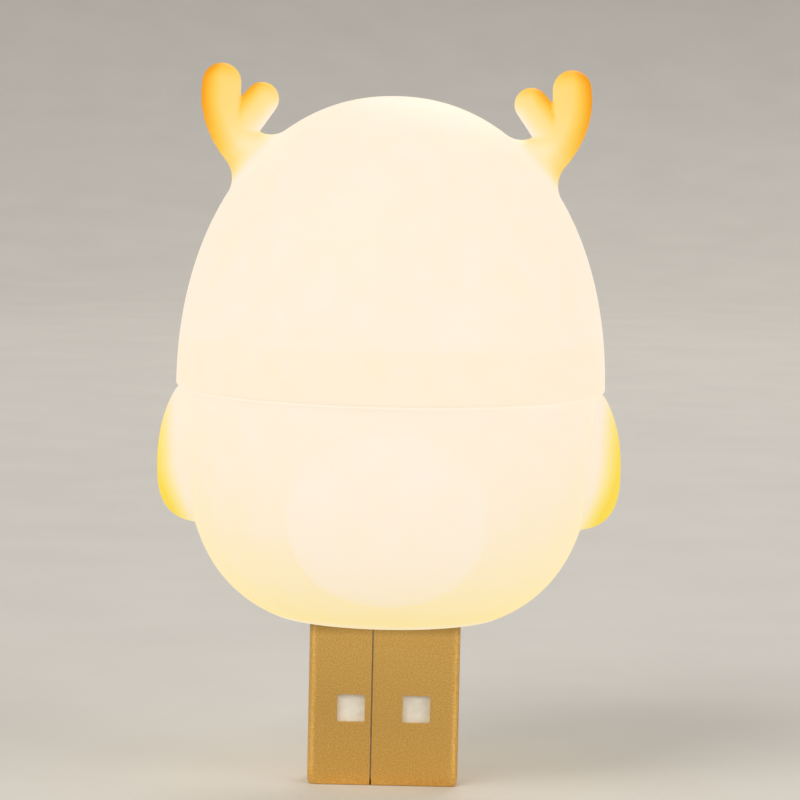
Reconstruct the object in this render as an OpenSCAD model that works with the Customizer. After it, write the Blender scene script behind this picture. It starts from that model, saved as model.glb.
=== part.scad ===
// USB night light: a lit milky deer figure on a USB-A plug, with a head that pulls off its body.
// Millimetres. Origin on the plug's axis in the plane of the flat seat under the body, +Z up.
// The front of the figure faces -Y and its arms and antlers lie along X.

/* [Head] */
// Outside diameter of the head at its rim
head_d = 34; // [30:0.5:40]
// Height from the rim to the crown
head_h = 23.15; // [19:0.05:28]
// Roundness of the head's outline: 2 is an ellipse, more is squarer
head_fullness = 2.12; // [1.9:0.01:2.6]
// Radius on the rim's outer edge
rim_round = 0.35; // [0.1:0.05:0.6]
// Wall of the rim round the bore
rim_wall = 1.5; // [1.2:0.1:2]
// How far the stop ledge stands in from the bore, which makes the dome's wall thicker than the rim's
ledge_w = 0.5; // [0.3:0.05:0.9]
// Chamfer at the bore's mouth
lead_in = 0.3; // [0.1:0.05:0.5]

/* [Antlers] */
// Distance of an antler's root from the middle
antler_root_x = 11.3; // [9:0.1:12.5]
// Depth of the root's centre under the dome
antler_sink = 0.65; // [0.2:0.05:1.4]
// Radius of the root
antler_root_r = 1.7; // [1.4:0.05:2.4]
// Sideways reach from the root to the bend of the main tine
tine_bend_x = 1.85; // [1:0.05:2.5]
// Rise from the root to the bend of the main tine
tine_bend_z = 3.35; // [2.5:0.05:4.5]
// Radius at the bend
tine_bend_r = 1.75; // [1.2:0.05:2.2]
// Sideways reach from the root to the tip of the main tine
tine_tip_x = 2.45; // [1.5:0.05:4]
// Rise from the root to the centre of the main tine's tip
tine_tip_z = 6.65; // [5:0.05:9]
// Radius of the main tine's tip
tine_tip_r = 1.57; // [1:0.01:2]
// Sideways reach from the root to the foot of the inner tine
fork_foot_x = 1.5; // [0.8:0.05:2]
// Rise from the root to the foot of the inner tine
fork_foot_z = 2; // [1.5:0.05:3]
// Radius at the foot of the inner tine
fork_foot_r = 1.5; // [1:0.05:1.8]
// Sideways reach from the root back to the inner tine's tip
fork_tip_x = 0.62; // [0:0.01:1.5]
// Rise from the root to the centre of the inner tine's tip
fork_tip_z = 5.4; // [4.5:0.05:7]
// Radius of the inner tine's tip
fork_tip_r = 1.34; // [0.9:0.01:1.7]

/* [Body] */
// How far the head's rim stands out past the body
rim_step = 0.7; // [0.4:0.05:1]
// Height of the head's rim above the seat
body_h = 18.05; // [15:0.05:22]
// Straight stretch of wall above the body's widest round
body_straight = 1.35; // [1:0.05:2]
// Roundness of the body's outline: 2 is an ellipse, more is squarer
body_fullness = 2.83; // [2.4:0.01:3.2]
// Depth by which the round underside is cut flat for the seat
seat_cut = 1; // [0.8:0.05:1.6]
// Wall of the body
body_wall = 1.5; // [1.2:0.05:2]
// Thickness of the floor
floor_t = 1.6; // [1.3:0.05:2]

/* [Head fit] */
// Height of the spigot that the head pushes onto
spigot_h = 3.75; // [2.5:0.05:5]
// Wall of the spigot
spigot_wall = 1.3; // [1:0.05:1.6]
// Gap between the spigot and the head's bore
spigot_clearance = 0.15; // [0.1:0.01:0.25]
// Open seam between the head's rim and the body's shoulder
seam_gap = 0.2; // [0.1:0.05:0.4]
// Width of the key rib inside the back of the head
key_w = 2.4; // [1.5:0.1:4]
// How far the key rib stands in from the bore
key_depth = 1.1; // [0.6:0.05:1.3]
// Gap beside and under the key rib
key_clearance = 0.2; // [0.1:0.05:0.4]

/* [Arms] */
// How far the line of an arm's balls lies inside the body's side
arm_inset = 0.6; // [0.3:0.05:1.2]
// Reach of an arm out from that line at its fullest
arm_r = 2.6; // [2:0.05:3]
// Drop from the head's rim to the fullest part of an arm
arm_drop = 5.4; // [4.5:0.05:6.5]
// Front-to-back spread of the balls in the full part of an arm
arm_spread = 3.6; // [2:0.1:5]
// Radius of an arm's narrow top
arm_top_r = 1.65; // [1.1:0.05:1.8]
// Drop from the head's rim to the centre of the narrow top
arm_top_drop = 1.5; // [1:0.05:2.5]
// Radius of an arm's lower end
arm_foot_r = 2.1; // [1.6:0.05:2.4]
// Drop from the head's rim to the centre of the lower end
arm_foot_drop = 8.5; // [8:0.05:9.5]

/* [Belly] */
// Width of the belly panel
belly_w = 15.6; // [14.6:0.1:18]
// Height of the belly panel along its slope
belly_h = 14.1; // [9:0.1:14.5]
// Downward tilt of the belly
belly_tilt = 16.8; // [10:0.1:20]
// Height at which the belly's centre line crosses the body's axis
belly_aim_z = 13.4; // [12.5:0.1:14]
// Depth of the pocket that the panel lies in
belly_pocket = 0.7; // [0.4:0.05:0.9]
// How far the panel stands out of the body
belly_proud = 0.15; // [0:0.05:0.4]
// Gap round and under the panel
belly_clearance = 0.08; // [0.04:0.01:0.2]

/* [Plug] */
// Width of the plug's metal shell
plug_w = 12; // [11:0.1:12.5]
// Thickness of the plug's metal shell
plug_t = 4.5; // [4:0.1:5]
// Length of plug below the seat
plug_out = 13.5; // [10:0.1:16]
// Length of shell above the floor, inside the body
plug_in = 3.4; // [2.8:0.1:4]
// Thickness of the shell's sheet
sheet_t = 0.3; // [0.2:0.02:0.4]
// Outside radius of the shell's corners
shell_round = 0.7; // [0.5:0.05:1]
// Width of the folded seam along the shell
shell_seam_w = 0.12; // [0.05:0.01:0.3]
// Distance of the folded seam from the middle
shell_seam_x = 1.3; // [0:0.1:1.4]
// Side of the square latch windows
window_w = 2.2; // [1.5:0.1:2.4]
// Distance of each window's centre from the middle
window_x = 2.6; // [2.6:0.05:3.5]
// Distance of the windows' centres from the tip
window_from_tip = 6.2; // [4:0.1:7]
// Reach of the two tabs that stop the shell on the floor
tab_out = 0.9; // [0.5:0.05:1.2]
// Width of the tabs
tab_w = 2; // [1:0.1:3]
// Gap between the shell and the slot in the floor
slot_clearance = 0.15; // [0.1:0.01:0.2]
// How far the tongue stays back from the shell's tip
tongue_setback = 0.5; // [0.2:0.1:1]
// Height of the insulator's solid block inside the shell
block_h = 4; // [3:0.1:5]
// Gap between the insulator and the shell
insulator_clearance = 0.05; // [0.02:0.01:0.1]

/* [Contacts] */
// Width of a contact
contact_w = 1; // [0.7:0.05:1.2]
// Thickness of a contact
contact_t = 0.2; // [0.12:0.01:0.3]
// Distance of the two data contacts from the middle
data_x = 1; // [0.9:0.05:1.2]
// Distance of the two power contacts from the middle
power_x = 3.5; // [3:0.05:3.8]
// Distance of the power contacts from the shell's tip
power_from_tip = 1; // [0.8:0.1:2]
// Distance of the data contacts from the shell's tip
data_from_tip = 2; // [1:0.1:3]
// Length of each tail on the board
tail_l = 3.2; // [2:0.1:4]

/* [Board] */
// Width of the board
board_w = 12; // [11:0.1:13]
// Thickness of the board
board_t = 1; // [0.6:0.05:1.2]
// Height of the board
board_h = 21.8; // [20:0.1:23]
// Gap between the plug's shell and the board
board_gap = 0.2; // [0.1:0.05:0.5]
// Chamfer on the board's corners
board_chamfer = 0.6; // [0.2:0.1:1]
// Width of a light package
led_w = 2.8; // [2.4:0.1:3.2]
// Height of a light package
led_h = 3.5; // [3:0.1:4]
// Thickness of a light package
led_t = 0.8; // [0.6:0.05:1]
// Frame left round a light's window
led_frame = 0.28; // [0.15:0.01:0.4]
// Depth of a light's window
led_window_t = 0.5; // [0.3:0.05:0.55]
// Gap round the phosphor in its window
phosphor_clearance = 0.02; // [0.01:0.01:0.05]
// Distance of each light from the middle
led_x = 2.9; // [2.6:0.05:3.1]
// Height of the lower front light above the board's foot
led_low_z = 5.3; // [5:0.1:5.8]
// Extra height of the lower back light, which clears the contact tails
led_back_rise = 1.5; // [1.2:0.1:3]
// Distance of the upper lights below the board's top
led_high_drop = 3.5; // [2.5:0.1:4.5]
// Length of a resistor
resistor_l = 3.2; // [2:0.1:3.6]
// Width of a resistor
resistor_w = 1.6; // [1:0.1:2]
// Thickness of a resistor
resistor_t = 0.55; // [0.4:0.05:0.7]
// Height of each resistor above the lower light of its side
resistor_rise = 4.8; // [4.2:0.1:6]

/* [Plug holder] */
// Height of the holder's round base
holder_h = 5; // [4.5:0.1:5.4]
// Wall left outside the corners of the holder's slot
holder_wall = 1; // [0.7:0.05:1.2]
// Gap between the holder and the plug's shell
holder_clearance = 0.05; // [0.03:0.01:0.1]
// Height of the rails that hold the board's edges
rail_h = 7.5; // [5:0.1:10]
// Wall of a rail outside the board's edge
rail_wall = 1; // [0.6:0.05:1.3]
// Wall of a rail in front of and behind the board
rail_cheek = 1.2; // [0.8:0.05:1.5]
// How far a rail's groove takes the board's edge in
groove_depth = 1; // [0.6:0.05:1.2]
// Gap between the board and the groove
groove_clearance = 0.05; // [0.03:0.01:0.1]
// Height of the screw bosses above the floor
boss_h = 2.6; // [2.2:0.1:3]
// Radius of the screw bosses and of the holder's ears
boss_r = 1.6; // [1.4:0.05:1.8]
// Thickness of the holder's ears
ear_t = 1.5; // [1:0.1:1.8]
// Radius of a screw's head
screw_head_r = 1.4; // [1.2:0.05:1.6]
// Height of a screw's head
screw_head_h = 1; // [0.7:0.05:1.3]
// Radius of a screw's shank
screw_r = 0.8; // [0.6:0.05:0.85]
// Length of a screw's shank
screw_l = 3.4; // [2.5:0.1:3.6]
// Gap round the shank in its hole, and under its end
screw_clearance = 0.06; // [0.04:0.01:0.15]
// Gap between the holder's base and each screw's head and boss beside it
screw_side_gap = 0.15; // [0.1:0.05:0.3]
// Length of the screw's cross recess
cross_l = 1.9; // [1.4:0.1:2.2]
// Width of the screw's cross recess
cross_w = 0.45; // [0.3:0.05:0.6]
// Depth of the screw's cross recess
cross_depth = 0.5; // [0.3:0.05:0.6]

/* [Hidden] */

// Straight steps along a round outline, and facets of true rounds and of blended balls
outline_steps = 28;
$fn = 96;
ball_fn = 32;
// Overshoot that keeps a cut clear of the face it opens
cut = 1;

// Head and spigot
head_r = head_d / 2;
bore_r = head_r - rim_wall;
dome_r = bore_r - ledge_w;
dome_h = head_h - rim_wall - ledge_w;
spigot_r = bore_r - spigot_clearance;
spigot_in_r = spigot_r - spigot_wall;
spigot_top = body_h + spigot_h;

// Body
body_r = head_r - rim_step;
body_mid = body_h - body_straight;
body_round_h = body_mid + seat_cut;
shoulder_z = body_h - seam_gap;
cavity_r = body_r - body_wall;
cavity_round_h = body_round_h - body_wall;

// Plug
shell_top = floor_t + plug_in;
inner_w = plug_w - 2 * sheet_t;
inner_t = plug_t - 2 * sheet_t;
slot_w = plug_w + 2 * slot_clearance;
slot_t = plug_t + 2 * slot_clearance;
contact_x = [power_x, data_x, -data_x, -power_x];
contact_from_tip = [power_from_tip, data_from_tip, data_from_tip, power_from_tip];

// Board, whose back face carries the contact tails in the plane y = 0
board_z = shell_top + board_gap;
led_z = board_z + led_low_z;
led_names = ["front_lower", "front_upper", "back_lower", "back_upper"];

// Holder
holder_z = floor_t + holder_h;
holder_r = norm([plug_w / 2 + holder_clearance, plug_t / 2 + holder_clearance]) + holder_wall;
boss_x = holder_r + screw_side_gap + max(boss_r, screw_head_r);
boss_top = floor_t + boss_h;
ear_top = boss_top + ear_t;

// A point on a quarter of a superellipse, from its widest round at 0 degrees to its pole at 90
function round_point(r, h, n, a) = [r * pow(cos(a), 2 / n), h * pow(sin(a), 2 / n)];

// The angle at which that quarter reaches a given height
function round_angle(h, n, z) = asin(pow(z / h, n / 2));

// The height of that quarter at a given distance from its axis
function round_height(r, h, n, x) = h * pow(1 - pow(x / r, n), 1 / n);

// The stretch of that quarter between two angles
function round_arc(r, h, n, from, to) =
    [for (i = [0:outline_steps]) round_point(r, h, n, from + (to - from) * i / outline_steps)];

// The same stretch hung below a level, for the lower half of a round
function hung_arc(r, h, n, from, to, level) =
    [for (p = round_arc(r, h, n, from, to)) [p[0], level - p[1]]];

// A rectangle with round corners, made of true arcs
module rounded_rectangle(w, t, r) {
    square([w - 2 * r, t], center = true);
    square([w, t - 2 * r], center = true);
    for (x = [-1, 1], y = [-1, 1])
        translate([x * (w / 2 - r), y * (t / 2 - r)])
            circle(r);
}

// A box given by its lowest and highest corners
module box(low, high) {
    translate(low)
        cube(high - low);
}

// The head's outside: a round rim under a dome
module head_outside() {
    rim_corner = [for (a = [-90:22.5:0])
        [head_r - rim_round + rim_round * cos(a), rim_round + rim_round * sin(a)]];
    dome = round_arc(head_r, head_h, head_fullness, round_angle(head_h, head_fullness, 2 * rim_round), 90);
    translate([0, 0, body_h])
        rotate_extrude()
            polygon(concat([[0, 0]], rim_corner, dome));
}

// The head's hollow: the bore for the spigot, then the ledge and the inside of the dome
module head_hollow() {
    mouth = [
        [0, -cut],
        [bore_r + lead_in, -cut],
        [bore_r + lead_in, 0],
        [bore_r, lead_in],
        [bore_r, spigot_h]
    ];
    dome = round_arc(dome_r, dome_h, head_fullness, round_angle(dome_h, head_fullness, spigot_h), 90);
    translate([0, 0, body_h])
        rotate_extrude()
            polygon(concat(mouth, dome));
}

// One rounded stretch of an antler between two balls in the plane of the antlers
module tine(from, from_r, to, to_r) {
    hull() {
        translate([from[0], 0, from[1]])
            sphere(from_r, $fn = ball_fn);
        translate([to[0], 0, to[1]])
            sphere(to_r, $fn = ball_fn);
    }
}

// A forked antler on the +X side, rooted in the dome
module antler() {
    root_z = body_h + round_height(head_r, head_h, head_fullness, antler_root_x) - antler_sink;
    root = [antler_root_x, root_z];
    bend = root + [tine_bend_x, tine_bend_z];
    tine(root, antler_root_r, bend, tine_bend_r);
    tine(bend, tine_bend_r, root + [tine_tip_x, tine_tip_z], tine_tip_r);
    tine(root + [fork_foot_x, fork_foot_z], fork_foot_r, root + [-fork_tip_x, fork_tip_z], fork_tip_r);
}

// The rib at the back of the head's bore, which keeps the antlers over the arms
module head_key() {
    low_z = body_h + key_clearance;
    intersection() {
        translate([0, 0, low_z])
            cylinder(r = bore_r + rim_wall / 2, h = spigot_h - key_clearance);
        box([-key_w / 2, bore_r - key_depth, low_z], [key_w / 2, head_r, spigot_top]);
    }
}

module head_shell() {
    color([1, 0.94, 0.85])
        union() {
            difference() {
                union() {
                    head_outside();
                    for (side = [0, 1])
                        mirror([side, 0, 0])
                            antler();
                }
                head_hollow();
            }
            head_key();
        }
}

// The body's outside: flat seat, round bowl, shoulder and spigot
module body_outside() {
    seat_angle = round_angle(body_round_h, body_fullness, body_mid);
    bowl = hung_arc(body_r, body_round_h, body_fullness, seat_angle, 0, body_mid);
    collar = [
        [body_r, shoulder_z],
        [spigot_r, shoulder_z],
        [spigot_r, spigot_top - lead_in],
        [spigot_r - lead_in, spigot_top],
        [0, spigot_top]
    ];
    rotate_extrude()
        polygon(concat([[0, 0]], bowl, collar));
}

// The body's hollow: flat floor, bowl, and a cone in to the spigot's bore
module body_hollow() {
    floor_angle = round_angle(cavity_round_h, body_fullness, body_mid - floor_t);
    bowl = hung_arc(cavity_r, cavity_round_h, body_fullness, floor_angle, 0, body_mid);
    collar = [
        [spigot_in_r, body_mid + cavity_r - spigot_in_r],
        [spigot_in_r, spigot_top + cut],
        [0, spigot_top + cut]
    ];
    rotate_extrude()
        polygon(concat([[0, floor_t]], bowl, collar));
}

// The lower round of the body, grown or shrunk by an even step
module body_round(step) {
    bowl = hung_arc(body_r + step, body_round_h + step, body_fullness, 90, 0, body_mid);
    rotate_extrude()
        polygon(concat(bowl, [[0, body_mid]]));
}

// The long round column that marks the belly out on the body's front
module belly_column(gap) {
    end_x = (belly_w - belly_h) / 2;
    end_r = belly_h / 2 - gap;
    translate([0, 0, belly_aim_z])
        rotate([90 + belly_tilt, 0, 0])
            linear_extrude(head_d) {
                square([2 * end_x, 2 * end_r], center = true);
                for (x = [-end_x, end_x])
                    translate([x, 0])
                        circle(end_r);
            }
}

// One arm on the +X side: a drop that hangs from the shoulder, narrow above and full below
module arm() {
    line_x = body_r - arm_inset;
    intersection() {
        hull() {
            translate([line_x, 0, body_h - arm_top_drop])
                sphere(arm_top_r, $fn = ball_fn);
            for (y = [-1, 1] * arm_spread / 2) {
                translate([line_x, y, body_h - arm_drop])
                    sphere(arm_r, $fn = ball_fn);
                translate([line_x, y, body_h - arm_foot_drop])
                    sphere(arm_foot_r, $fn = ball_fn);
            }
        }
        cylinder(r = head_d, h = shoulder_z);
    }
}

// Both screw places, left and right of the plug
module at_screws() {
    for (side = [-1, 1])
        translate([side * boss_x, 0, 0])
            children();
}

module body_shell() {
    color([1, 0.9, 0.72])
        difference() {
            union() {
                body_outside();
                for (side = [0, 1])
                    mirror([side, 0, 0])
                        arm();
            }
            difference() {
                body_hollow();
                at_screws()
                    cylinder(r = boss_r, h = boss_top);
            }
            difference() {
                belly_column(0);
                body_round(-belly_pocket);
            }
            translate([0, 0, -cut])
                linear_extrude(floor_t + 2 * cut)
                    rounded_rectangle(slot_w, slot_t, shell_round + slot_clearance);
            at_screws()
                translate([0, 0, ear_top - screw_l - screw_clearance])
                    cylinder(r = screw_r + screw_clearance, h = screw_l);
            key_slot();
        }
}

// The slot in the back of the spigot that the head's key rib slides down
module key_slot() {
    half_w = key_w / 2 + key_clearance;
    box([-half_w, spigot_in_r - cut, body_h], [half_w, head_r, spigot_top + cut]);
}

module belly_panel() {
    color([1, 0.96, 0.9])
        intersection() {
            belly_column(belly_clearance);
            difference() {
                body_round(belly_proud);
                body_round(belly_clearance - belly_pocket);
            }
        }
}

module usb_shell() {
    color([0.72, 0.7, 0.66])
        difference() {
            union() {
                translate([0, 0, -plug_out])
                    linear_extrude(plug_out + shell_top)
                        rounded_rectangle(plug_w, plug_t, shell_round);
                for (side = [0, 1])
                    mirror([side, 0, 0])
                        box([inner_w / 2, -tab_w / 2, floor_t],
                            [plug_w / 2 + tab_out, tab_w / 2, floor_t + sheet_t]);
            }
            translate([0, 0, -plug_out - cut])
                linear_extrude(plug_out + shell_top + 2 * cut)
                    rounded_rectangle(inner_w, inner_t, shell_round - sheet_t);
            for (side = [-1, 1])
                translate([side * window_x, 0, window_from_tip - plug_out])
                    cube([window_w, plug_t + cut, window_w], center = true);
            box([-shell_seam_x - shell_seam_w / 2, -plug_t, -plug_out - cut],
                [-shell_seam_x + shell_seam_w / 2, 0, shell_top + cut]);
        }
}

// The space that a contact takes, from its tip on the tongue to its tail on the board
module contact(i) {
    half_w = contact_w / 2;
    box([contact_x[i] - half_w, 0, contact_from_tip[i] - plug_out],
        [contact_x[i] + half_w, contact_t, board_z + tail_l]);
}

module usb_contact(i) {
    color([0.85, 0.68, 0.35])
        contact(i);
}

module usb_insulator() {
    width = inner_w - 2 * insulator_clearance;
    depth = inner_t - 2 * insulator_clearance;
    color([0.93, 0.92, 0.88])
        difference() {
            intersection() {
                translate([0, 0, tongue_setback - plug_out])
                    linear_extrude(plug_out + shell_top - tongue_setback)
                        rounded_rectangle(width, depth, shell_round - sheet_t);
                union() {
                    box([-width, -depth, -plug_out], [width, 0, shell_top]);
                    box([-width, -depth, shell_top - block_h], [width, depth, shell_top]);
                }
            }
            for (i = [0:3])
                contact(i);
        }
}

module circuit_board() {
    half_w = board_w / 2;
    corner = half_w - board_chamfer;
    color([0.93, 0.93, 0.9])
        translate([0, 0, board_z])
            rotate([90, 0, 0])
                linear_extrude(board_t)
                    polygon([
                        [-half_w, 0],
                        [half_w, 0],
                        [half_w, board_h - board_chamfer],
                        [corner, board_h],
                        [-corner, board_h],
                        [-half_w, board_h - board_chamfer]
                    ]);
}

// Places a front or back component: its foot on the board's face, its face away from the board
module on_board(back, x, z) {
    translate([back ? x : -x, back ? 0 : -board_t, z])
        rotate([0, 0, back ? 180 : 0])
            rotate([90, 0, 0])
                children();
}

// Places light number i of led_names, the lower ones from the board's foot and the upper from its top
module at_led(i) {
    back = i > 1;
    low_z = led_z + (back ? led_back_rise : 0);
    high_z = board_z + board_h - led_high_drop;
    on_board(back, led_x, i % 2 == 0 ? low_z : high_z)
        children();
}

module led_package(i) {
    color([0.97, 0.96, 0.92])
        at_led(i)
            difference() {
                translate([-led_w / 2, -led_h / 2, 0])
                    cube([led_w, led_h, led_t]);
                translate([led_frame - led_w / 2, led_frame - led_h / 2, led_t - led_window_t])
                    cube([led_w - 2 * led_frame, led_h - 2 * led_frame, led_window_t + cut]);
            }
}

module phosphor(i) {
    inset = led_frame + phosphor_clearance;
    color([1, 0.83, 0.3])
        at_led(i)
            translate([inset - led_w / 2, inset - led_h / 2, led_t - led_window_t])
                cube([led_w - 2 * inset, led_h - 2 * inset, led_window_t]);
}

// The resistor stands upright above the lower light of its side
module resistor(back) {
    color([0.12, 0.12, 0.13])
        on_board(back, led_x, led_z + (back ? led_back_rise : 0) + resistor_rise)
            translate([-resistor_w / 2, -resistor_l / 2, 0])
                cube([resistor_w, resistor_l, resistor_t]);
}

// One rail of the holder, which takes in the board's edge on the +X side
module holder_rail() {
    box([board_w / 2 - groove_depth, -board_t - rail_cheek, holder_z - cut],
        [board_w / 2 + groove_clearance + rail_wall, rail_cheek, holder_z + rail_h]);
}

module plug_holder() {
    gap = holder_clearance;
    groove = groove_clearance;
    color([0.9, 0.9, 0.88])
        difference() {
            union() {
                translate([0, 0, floor_t])
                    cylinder(r = holder_r, h = holder_h);
                for (side = [0, 1])
                    mirror([side, 0, 0])
                        holder_rail();
                at_screws()
                    translate([0, 0, boss_top])
                        cylinder(r = boss_r, h = ear_t);
                box([-boss_x, -boss_r, boss_top], [boss_x, boss_r, ear_top]);
            }
            linear_extrude(holder_z + cut)
                rounded_rectangle(plug_w + 2 * gap, plug_t + 2 * gap, shell_round + gap);
            box([-board_w / 2 - groove, -board_t - groove, board_z - groove],
                [board_w / 2 + groove, groove, board_z + board_h]);
            box([-plug_w / 2 - tab_out - gap, -tab_w / 2 - gap, 0],
                [plug_w / 2 + tab_out + gap, tab_w / 2 + gap, floor_t + sheet_t + gap]);
            at_screws()
                cylinder(r = screw_r + screw_clearance, h = ear_top + cut);
        }
}

module holder_screws() {
    color([0.7, 0.7, 0.72])
        at_screws()
            difference() {
                union() {
                    translate([0, 0, ear_top])
                        cylinder(r = screw_head_r, h = screw_head_h);
                    translate([0, 0, ear_top - screw_l])
                        cylinder(r = screw_r, h = screw_l);
                }
                for (turn = [0, 90])
                    rotate([0, 0, turn])
                        translate([0, 0, ear_top + screw_head_h])
                            cube([cross_l, cross_w, 2 * cross_depth], center = true);
            }
}

head_shell();
body_shell();
belly_panel();
usb_shell();
usb_insulator();
usb_contact(0);  // contact_vbus
usb_contact(1);  // contact_data_minus
usb_contact(2);  // contact_data_plus
usb_contact(3);  // contact_ground
circuit_board();
for (i = [0:3]) {
    led_package(i);
    phosphor(i);
}
resistor(false);  // resistor_front
resistor(true);  // resistor_back
plug_holder();
holder_screws();
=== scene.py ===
"""A USB night light: a lit milky deer figure on a USB-A plug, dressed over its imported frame.

Sizes are in millimetres and become metres only where a mesh, lamp or camera is made.
The front of the figure faces -Y, and its arms and antlers lie along X.
"""

import math

import bmesh
import bpy
import numpy as np
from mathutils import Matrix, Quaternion, Vector


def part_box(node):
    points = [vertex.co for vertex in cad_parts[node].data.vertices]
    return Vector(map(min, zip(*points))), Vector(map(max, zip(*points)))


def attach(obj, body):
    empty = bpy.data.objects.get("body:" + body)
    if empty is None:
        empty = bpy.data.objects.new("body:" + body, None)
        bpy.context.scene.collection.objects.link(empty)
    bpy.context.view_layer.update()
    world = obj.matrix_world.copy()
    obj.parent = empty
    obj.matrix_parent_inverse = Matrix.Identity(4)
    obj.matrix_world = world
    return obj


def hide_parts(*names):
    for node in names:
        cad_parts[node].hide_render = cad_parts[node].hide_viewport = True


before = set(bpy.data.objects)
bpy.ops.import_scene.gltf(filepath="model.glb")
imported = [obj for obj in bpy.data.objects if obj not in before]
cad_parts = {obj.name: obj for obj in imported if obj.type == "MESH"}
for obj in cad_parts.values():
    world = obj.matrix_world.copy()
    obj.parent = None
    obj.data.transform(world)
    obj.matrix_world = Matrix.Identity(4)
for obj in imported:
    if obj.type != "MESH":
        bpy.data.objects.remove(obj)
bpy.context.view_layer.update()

MM = 0.001


def corners(node):
    """The lowest and highest corner of a node of the frame, in millimetres."""
    low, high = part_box(node)
    return np.array([low, high]) / MM


# Head: an egg-shaped cap whose rim stands out past the body
HEAD_BOX = corners("head_shell")
RIM_Z = HEAD_BOX[0][2]
HEAD_R = HEAD_BOX[1][1]
HEAD_H = 23.15
HEAD_FULLNESS = 2.12
RIM_ROUND = 0.35
BORE_R = HEAD_R - 1.5
DOME_R = BORE_R - 0.5
DOME_H = HEAD_H - 2.0
LEAD_IN = 0.3
KEY_W = 2.4
KEY_DEPTH = 1.1
KEY_GAP = 0.2

# Antlers: a curve from the root, by a control point, to the tip, and a fork, as X and height over the rim
ANTLER_CURVE = ((11.1, 17.96), (14.22, 20.71), (13.82, 23.96))
ANTLER_LINKS = 8
ANTLER_ROOT_R = 1.775
TINE_TIP_R = 1.53
FORK_FOOT = (12.8, 19.94)
FORK_FOOT_R = 1.55
FORK_TIP = (10.63, 22.7)
FORK_TIP_R = 1.34
ANTLER_FILLET = 1.57
FORK_FILLET = 0.06

# Body: a bowl with a flat seat, a shoulder, and the spigot that the head sits on
BODY_BOX = corners("body_shell")
BODY_R = BODY_BOX[1][1]
BODY_MID = RIM_Z - 1.35
BODY_ROUND_H = BODY_MID + 1.11
BODY_FULLNESS = 2.885
BODY_WALL = 1.5
FLOOR_T = 1.6
SEAT_ROUND = 0.1
SHOULDER_Z = RIM_Z - 0.15
SHOULDER_ROUND = 0.18
SPIGOT_R = BORE_R - 0.15
SPIGOT_IN_R = SPIGOT_R - 1.3
SPIGOT_TOP = BODY_BOX[1][2]
CAVITY_R = BODY_R - BODY_WALL
CAVITY_H = BODY_ROUND_H - BODY_WALL
FLOOR_FILLET = 0.6
BOSS_X = 9.22
BOSS_R = 1.6
BOSS_TOP = FLOOR_T + 2.6
BOSS_HOLE_R = 0.86
BOSS_HOLE_Z = 2.24

# Arms: an egg on each side, with a longer round above its widest ring than below it
ARM_X = BODY_R - 2.3
ARM_Z = RIM_Z - 5.95
ARM_REACH = 4.43
ARM_HALF_Y = 4.4
ARM_UP = 7.7
ARM_UP_FULLNESS = 2.0
ARM_DOWN = 5.0
ARM_DOWN_FULLNESS = 2.95
ARM_FILLET = 0.05
ARM_BLEND = 1.4
ARM_BLEND_FOOT = ARM_Z - 0.7 * ARM_DOWN
ARM_BLEND_NEAR = 1.5
ARM_BLEND_FAR = 4.5

# Belly: a long round inlay on the body's front, on an axis that slopes down
BELLY_END_X = 0.75
BELLY_END_R = 7.05
BELLY_TILT = math.radians(16.8)
BELLY_AIM_Z = 13.4
BELLY_POCKET = 0.7
BELLY_PROUD = 0.15
BELLY_GAP = 0.01
BELLY_FEATHER = 2.5
BELLY_EDGE = 0.02

# Plug
PLUG_BOX = corners("usb_shell")
PLUG_W = 12.0
PLUG_T = 4.5
PLUG_TIP = PLUG_BOX[0][2]
PLUG_TOP = PLUG_BOX[1][2]
PLUG_ROUND = 0.7
SLOT_GAP = 0.15
SHEET_T = 0.3
SHEET_EDGE = 0.1
SEAM_X = -0.95
SEAM_W = 0.12
WINDOW_W = 2.2
WINDOW_X = 2.6
WINDOW_Z = PLUG_TIP + 6.2
WINDOW_ROUND = 0.15
TIP_L = 0.9
TIP_TAPER = 0.14
TAB_OUT = 0.9
TAB_W = 2.0

# Board and lights
BOARD_BOX = corners("circuit_board")
BOARD_CHAMFER = 0.6
BOARD_EDGE = 0.06
LED_FRAME = 0.28
CUP_DEPTH = 0.4
CUP_SLOPE = 0.18
CASE_EDGE = 0.07
CASE_CORNER = 0.18
LEAD_W_SHARE = 0.8
LEAD_T_SHARE = 0.3
GEL_GAP = 0.02
CAP_L = 0.5
CAP_T = 0.03
PAD_L = 0.5
TRACE_W = 0.5
TRACE_T = 0.03
TRACE_EDGE = TRACE_T / 3
TRACE_CORNER = TRACE_W / 4
CROSS_W = 0.9 * TRACE_W
CROSS_T = 0.8 * TRACE_T
PAD_T = 2 * TRACE_T
PAD_EDGE = 2 * TRACE_EDGE
SOLDER_L = 2.2
SOLDER_RISE = ((1.5, 0.0), (1.4, 0.14), (1.15, 0.28), (0.7, 0.36))
CONTACTS = [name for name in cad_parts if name.startswith("contact_")]
PHOSPHORS = [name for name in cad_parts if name.startswith("phosphor_")]


# Distance fields in millimetres: below zero inside, and about the distance outside

LEAST_SLOPE = 1e-6
LEAST_LENGTH = 1e-9


def superellipse(r, up, width, height, power):
    """A round of revolution from its widest ring, at up = 0, to its pole, and a cylinder under the ring."""
    across = r / width
    along = np.maximum(up, 0) / height
    size = np.maximum((across**power + along**power) ** (1 / power), LEAST_SLOPE)
    slope = np.hypot((across / size) ** (power - 1) / width, (along / size) ** (power - 1) / height)
    return (size - 1) / np.maximum(slope, LEAST_SLOPE)


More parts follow.
